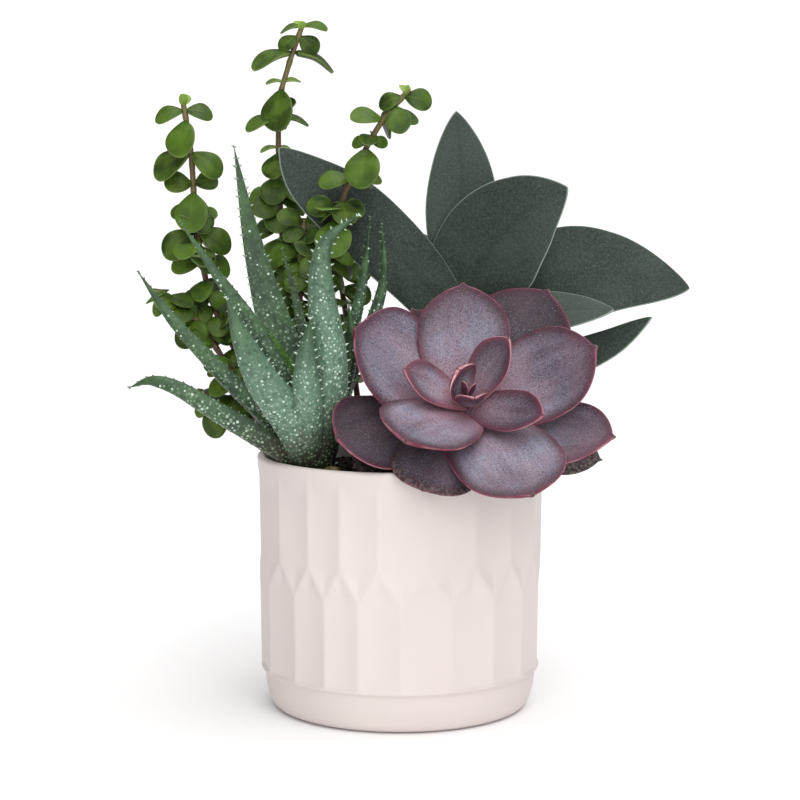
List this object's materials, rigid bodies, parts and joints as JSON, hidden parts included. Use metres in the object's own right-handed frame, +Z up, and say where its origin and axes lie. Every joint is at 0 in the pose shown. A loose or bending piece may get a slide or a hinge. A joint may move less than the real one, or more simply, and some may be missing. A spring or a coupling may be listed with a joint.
{
  "type": "potted succulent arrangement",
  "caption": "Fluted off-white ceramic pot planted with a purple rosette succulent, a velvety grey-green crassula, a spotted aloe and an elephant bush.",
  "frame": {"origin": "centre of the pot's flat underside", "axes": "+Z up along the pot's axis, -Y to the front of the arrangement, +X to the right seen from the front"},
  "size_m": [0.243, 0.1505, 0.3012],
  "materials": {
    "pot": "matte off-white glaze, slightly warm",
    "soil": "dark crumbly potting soil",
    "rosette_leaf": "mauve succulent leaf with a frosty bloom and pink-red margins",
    "rosette_stem": "woody succulent stem",
    "crassula_leaf": "velvety grey-green succulent leaf with thin pale edges",
    "aloe_leaf": "green aloe leaf with raised white spots and teeth",
    "bush_leaf": "glossy bright green leaves on red-brown stems",
    "dried_leaf": "dry papery leaf"
  },
  "bodies": {
    "root": {"pot": "pot", "rosette_stem": "rosette_stem", "rosette_heart_a": "rosette_leaf", "rosette_heart_b": "rosette_leaf", "rosette_inner_back": "rosette_leaf", "rosette_inner_front": "rosette_leaf", "rosette_inner_left": "rosette_leaf", "rosette_inner_right": "rosette_leaf", "rosette_inner_low": "rosette_leaf", "rosette_front_left": "rosette_leaf", "rosette_top": "rosette_leaf", "rosette_right": "rosette_leaf", "rosette_bottom": "rosette_leaf", "rosette_left_high": "rosette_leaf", "rosette_left_low": "rosette_leaf", "rosette_top_right": "rosette_leaf", "rosette_right_low": "rosette_leaf", "rosette_top_left": "rosette_leaf", "rosette_old_low": "rosette_leaf", "rosette_old_right": "rosette_leaf", "rosette_old_left": "rosette_leaf", "rosette_old_back": "rosette_leaf", "crassula_stem": "crassula_leaf", "crassula_wide": "crassula_leaf", "crassula_left": "crassula_leaf", "crassula_upright": "crassula_leaf", "crassula_right": "crassula_leaf", "crassula_low_right": "crassula_leaf", "crassula_small_right": "crassula_leaf", "crassula_back_left": "crassula_leaf", "crassula_back_right": "crassula_leaf", "aloe_stem": "aloe_leaf", "aloe_front": "aloe_leaf", "aloe_broad": "aloe_leaf", "aloe_curled": "aloe_leaf", "aloe_over_rim": "aloe_leaf", "aloe_low_left": "aloe_leaf", "aloe_long_left": "aloe_leaf", "aloe_tall": "aloe_leaf", "aloe_bright": "aloe_leaf", "aloe_thin_left": "aloe_leaf", "aloe_dark": "aloe_leaf", "aloe_thin_back": "aloe_leaf", "aloe_thin_right": "aloe_leaf", "bush_left": "bush_leaf", "bush_middle": "bush_leaf", "bush_right": "bush_leaf", "bush_side": "bush_leaf", "bush_twig": "bush_leaf", "bush_inner": "bush_leaf", "bush_back": "bush_leaf", "dried_leaf": "dried_leaf", "soil": "soil"}
  },
  "joints": []
}
